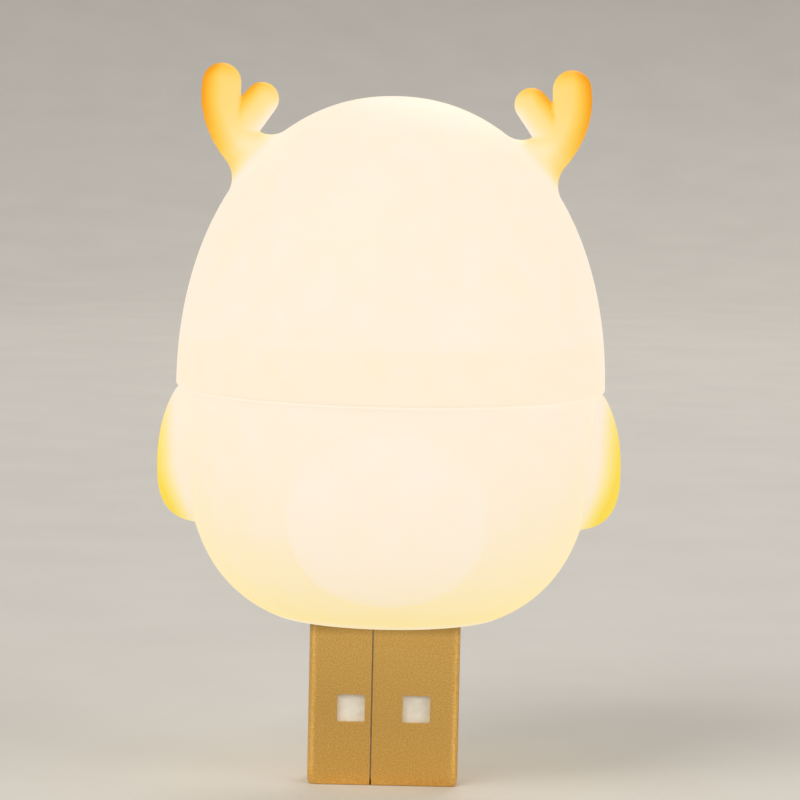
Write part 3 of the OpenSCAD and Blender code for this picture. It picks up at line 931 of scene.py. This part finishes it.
glowing_piece(
    "belly_inlay", belly_field, belly_amber, BODY_STOPS, "base", "belly_plastic", "belly_panel",
    degrees=levels((-142, -38, 0.86), (-38, 218, 8)),
    outs=levels((8.0, 17.0, 0.2)),
    heights=levels((-0.5, 17.5, 0.24)),
)


def add_plug():
    """The plug's metal shell, on a grid that stands on its outline."""
    columns = wrapped(PLUG_W, PLUG_T, PLUG_ROUND, step=0.102)
    outs = levels((-0.54, 0.11, 0.05), (0.11, 1.06, 0.15))
    heights = levels((PLUG_TIP - 0.12, PLUG_TOP + 0.12, 0.15))
    points, quads = contour(plug_field, columns, outs, heights)
    piece = mesh_object("plug_case", points, quads.tolist())
    piece.data.set_sharp_from_angle(angle=SHARP)
    dress(piece, plug_metal(), "base", "plug_steel", "usb_shell")


def place_of(node):
    """The middle of a node on the board in X and Z, its size, and the side of the board that it is on."""
    low, high = corners(node)
    middle, size = (low + high) / 2, high - low
    facing = 1 if middle[1] > BOARD_BOX[:, 1].mean() else -1
    return middle[0], middle[2], size, facing


def add_lights():
    """The four lights: a white case with a cup and two leads, and the gel in the cup."""
    stops = tinned_stops((242, 238, 226))
    case = grained("led_case", stops, scale=2600.0, rough=(0.42, 0.6), tinned=True)
    gel = phosphor_gel()
    for node in PHOSPHORS:
        spot = node.removeprefix("phosphor_")
        x, z, size, facing = place_of("led_" + spot)
        w, t, h = size
        mouth = 2 * LED_FRAME
        foot = mouth + 2 * CUP_SLOPE
        rings = block(w, h, 0, t, CASE_EDGE, CASE_CORNER)
        rings.append(oblong(w - mouth, h - mouth, CASE_CORNER, t))
        rings.append(oblong(w - foot, h - foot, CASE_CORNER, t - CUP_DEPTH))
        parts = [(on_board(rings, x, z, facing), BODY)]
        for end in (-1, 1):
            lead = block(LEAD_W_SHARE * w, PAD_L, 0, LEAD_T_SHARE * t, CASE_EDGE, CASE_CORNER)
            parts.append((on_board(lead, x, z + end * (h - PAD_L / 2) / 2, facing), METAL))
        dress(built_piece("led_case_" + spot, parts), case, "base", "led_plastic", "led_" + spot)
        gap = 2 * GEL_GAP
        rings = [
            oblong(w - foot - gap, h - foot - gap, CASE_CORNER, t - CUP_DEPTH + GEL_GAP),
            oblong(w - mouth - gap, h - mouth - gap, CASE_CORNER, t - 2 * GEL_GAP),
            oblong(w - foot, h - foot, CASE_CORNER, t - GEL_GAP),
            oblong((w - foot) / 2, (h - foot) / 2, CASE_CORNER, t),
        ]
        piece = built_piece("gel_" + spot, [(on_board(rings, x, z, facing), BODY)])
        dress(piece, gel, "base", "phosphor", node)


def add_resistors():
    """The two resistors: a black chip with tinned ends."""
    stops = tinned_stops((34, 34, 37))
    coat = grained("resistor_coat", stops, scale=2200.0, rough=(0.3, 0.5), tinned=True)
    for side in ("front", "back"):
        x, z, size, facing = place_of("resistor_" + side)
        w, t, h = size
        chip = block(w - 2 * CAP_T, h - 2 * CAP_T, 0, t - CAP_T, CASE_EDGE, CASE_CORNER)
        parts = [(on_board(chip, x, z, facing), BODY)]
        for end in (-1, 1):
            cap = block(w, CAP_L, 0, t, CASE_EDGE, CASE_CORNER)
            parts.append((on_board(cap, x, z + end * (h - CAP_L) / 2, facing), METAL))
        piece = built_piece("resistor_chip_" + side, parts)
        dress(piece, coat, "base", "resistor_ceramic", "resistor_" + side)


def add_contacts():
    """The plug's four gold contact strips."""
    gold = grained(
        "contact_gold", grain_stops((206, 160, 74), (232, 190, 104)), scale=2600.0, rough=(0.2, 0.34),
        metallic=1.0, bump=0.006, stretch=(1.0, 1.0, 0.3),
    )
    for node in CONTACTS:
        x, z, size, facing = place_of(node)
        w, t, h = size
        strip = block(w, h, 0, t, CASE_EDGE, corner=w / 3)
        piece = built_piece(node + "_strip", [(on_board(strip, x, z, facing), METAL)])
        dress(piece, gold, "base", "contact_gold", node)


def board_rings():
    """The rings of the bare board from its front face to its back, with chamfered upper corners."""
    low, high = BOARD_BOX
    corner = np.array([
        (low[0], low[2]), (high[0], low[2]),
        (high[0], high[2] - BOARD_CHAMFER), (high[0] - BOARD_CHAMFER, high[2]),
        (low[0] + BOARD_CHAMFER, high[2]), (low[0], high[2] - BOARD_CHAMFER),
    ])
    middle = (corner.min(0) + corner.max(0)) / 2
    half = (corner.max(0) - corner.min(0)) / 2
    rings = []
    for level, inset in (
        (low[1], BOARD_EDGE), (low[1] + BOARD_EDGE, 0), (high[1] - BOARD_EDGE, 0), (high[1], BOARD_EDGE),
    ):
        flat = middle + (corner - middle) * (1 - inset / half)
        rings.append(np.column_stack([flat[:, 0], np.full(len(flat), level), flat[:, 1]]))
    return rings


def add_board():
    """The board with its tinned pads, its traces under the white coat, and solder over the contact tails."""
    parts = [(board_rings(), BODY)]
    for side in ("front", "back"):
        nodes = ("led_%s_lower" % side, "led_%s_upper" % side, "resistor_" + side)
        spots = [place_of(node) for node in nodes]
        for x, z, size, facing in spots:
            for end in (-1, 1):
                pad = block(size[0], 2 * PAD_L, 0, PAD_T, PAD_EDGE, CASE_CORNER)
                parts.append((on_board(pad, x, z + end * size[2] / 2, facing), METAL))
        x, low_z, _, facing = spots[0]
        high_z = spots[1][1]
        for trace_x in (x, -x):
            trace = block(TRACE_W, high_z - low_z + TRACE_W, 0, TRACE_T, TRACE_EDGE, TRACE_CORNER)
            parts.append((on_board(trace, trace_x, (low_z + high_z) / 2, facing), TRACE))
        for level in (low_z, high_z):
            trace = block(2 * abs(x), CROSS_W, 0, CROSS_T, TRACE_EDGE, TRACE_CORNER)
            parts.append((on_board(trace, 0, level, facing), TRACE))
    for node in CONTACTS:
        x, _, size, facing = place_of(node)
        tail_z = (BOARD_BOX[0][2] + corners(node)[1][2]) / 2
        joint = []
        for grow, rise in SOLDER_RISE:
            joint.append(oblong(size[0] * grow, SOLDER_L * grow, size[0] * grow / 3, rise))
        parts.append((on_board(joint, x, tail_z, facing), METAL))
    coats = tinned_stops((236, 236, 230), (210, 219, 200))
    coat = grained("board_coat", coats, scale=3600.0, rough=(0.3, 0.42), bump=0.002, tinned=True)
    dress(built_piece("board_panel", parts), coat, "base", "board_laminate", "circuit_board")


SOFT_EDGE = 0.06


def dress_node(node, material):
    """Gives a node that is shown as it is its material, and takes the sharpness off its edges."""
    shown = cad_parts[node]
    shown.data.materials.clear()
    shown.data.materials.append(material)
    soften = shown.modifiers.new("soften", "BEVEL")
    soften.width = SOFT_EDGE * MM
    soften.segments = 2
    soften.limit_method = "ANGLE"
    soften.angle_limit = SHARP


add_plug()
add_lights()
add_resistors()
add_contacts()
add_board()
ivory = grain_stops((226, 223, 212), (236, 233, 223))
moulding = grained("insulator_moulding", ivory, scale=2400.0, rough=(0.45, 0.62))
dress_node("usb_insulator", moulding)
chalk = grain_stops((214, 213, 206), (224, 223, 217))
moulding = grained("holder_moulding", chalk, scale=2000.0, rough=(0.5, 0.66), bump=0.02)
dress_node("plug_holder", moulding)
zinc = grain_stops((212, 212, 212), (226, 226, 227))
plate = grained("screw_zinc", zinc, scale=2800.0, rough=(0.28, 0.42), metallic=1.0)
dress_node("holder_screws", plate)


# Stage, light and camera

FLOOR_Z = PLUG_TIP
STAGE_R = 1200.0
STAGE_BEND = 600.0
STAGE_H = 1400.0
STAGE_CORE = 150.0
STAGE_STEPS = 17
STAGE_SIDES = 96
LAMP_AIM = Vector((0, 0, 15))
WARM = (1.0, 0.98, 0.95)
SOFT_WARM = (1.0, 0.98, 0.96)
RIM_WARM = (1.0, 0.97, 0.93)
SKY = (1.0, 0.985, 0.96, 1.0)


def add_stage():
    """A round pale sweep: a floor that curves up into a wall on every side."""
    profile = [(0.0, 0.0), (STAGE_CORE, 0.0)]
    for turn in np.linspace(0, math.pi / 2, STAGE_STEPS):
        profile.append((STAGE_R - STAGE_BEND * (1 - math.sin(turn)), STAGE_BEND * (1 - math.cos(turn))))
    profile.append((STAGE_R, STAGE_H))
    points = []
    for r, z in profile:
        for i in range(STAGE_SIDES):
            angle = 2 * math.pi * i / STAGE_SIDES
            points.append((r * math.cos(angle), r * math.sin(angle), FLOOR_Z + z))
    faces = []
    for row in range(len(profile) - 1):
        low, high = row * STAGE_SIDES, (row + 1) * STAGE_SIDES
        for i in range(STAGE_SIDES):
            j = (i + 1) % STAGE_SIDES
            faces.append((low + i, low + j, high + j, high + i))
    stage = mesh_object("stage", points, faces)
    stage.data.materials.append(floor_material())


def add_lamp(name, place, size, power, colour):
    """A square soft lamp that faces the figure."""
    data = bpy.data.lights.new(name, "AREA")
    data.size = size * MM
    data.energy = power
    data.color = colour
    lamp = bpy.data.objects.new(name, data)
    bpy.context.scene.collection.objects.link(lamp)
    lamp.location = Vector(place) * MM
    aim = LAMP_AIM - Vector(place)
    lamp.rotation_euler = aim.to_track_quat("-Z", "Y").to_euler()


def add_world(strength):
    """An even warm white light from every side."""
    world = bpy.data.worlds.new("studio")
    bpy.context.scene.world = world
    world.use_nodes = True
    background = world.node_tree.nodes["Background"]
    background.inputs["Color"].default_value = SKY
    background.inputs["Strength"].default_value = strength


CAMERA_AWAY = 300.0
CAMERA_RISE = math.radians(4.5)
CAMERA_AIM = Vector((0.77, 0.0, 20.25))
CAMERA_DROP = 3.1
CAMERA_ROLL = math.radians(1.25)
FRAME_W = 63.5
SENSOR_W = 36.0
NEAR_CLIP = 10.0


def add_camera():
    """The photograph's view, aimed a little lower so that the whole plug shows."""
    data = bpy.data.cameras.new("camera")
    data.sensor_width = SENSOR_W
    data.lens = SENSOR_W * CAMERA_AWAY / FRAME_W
    data.clip_start = NEAR_CLIP * MM
    camera = bpy.data.objects.new("camera", data)
    bpy.context.scene.collection.objects.link(camera)
    back = Vector((0.0, -math.cos(CAMERA_RISE), math.sin(CAMERA_RISE)))
    place = CAMERA_AIM + back * CAMERA_AWAY
    aim = CAMERA_AIM - Vector((0, 0, CAMERA_DROP)) - place
    camera.location = place * MM
    camera.rotation_mode = "QUATERNION"
    camera.rotation_quaternion = aim.to_track_quat("-Z", "Y") @ Quaternion((0, 0, 1), CAMERA_ROLL)
    bpy.context.scene.camera = camera


add_stage()
add_world(strength=0.36)
add_lamp("key", place=(-420, -520, 620), size=500, power=4.2, colour=WARM)
add_lamp("fill", place=(560, -380, 320), size=500, power=1.5, colour=SOFT_WARM)
add_lamp("back", place=(120, 620, 560), size=400, power=2.4, colour=RIM_WARM)
add_lamp("low_left", place=(-560, -300, 90), size=260, power=0.8, colour=WARM)
add_lamp("low_right", place=(600, -260, 90), size=260, power=0.8, colour=SOFT_WARM)
add_camera()
bpy.context.scene.view_settings.view_transform = "Standard"
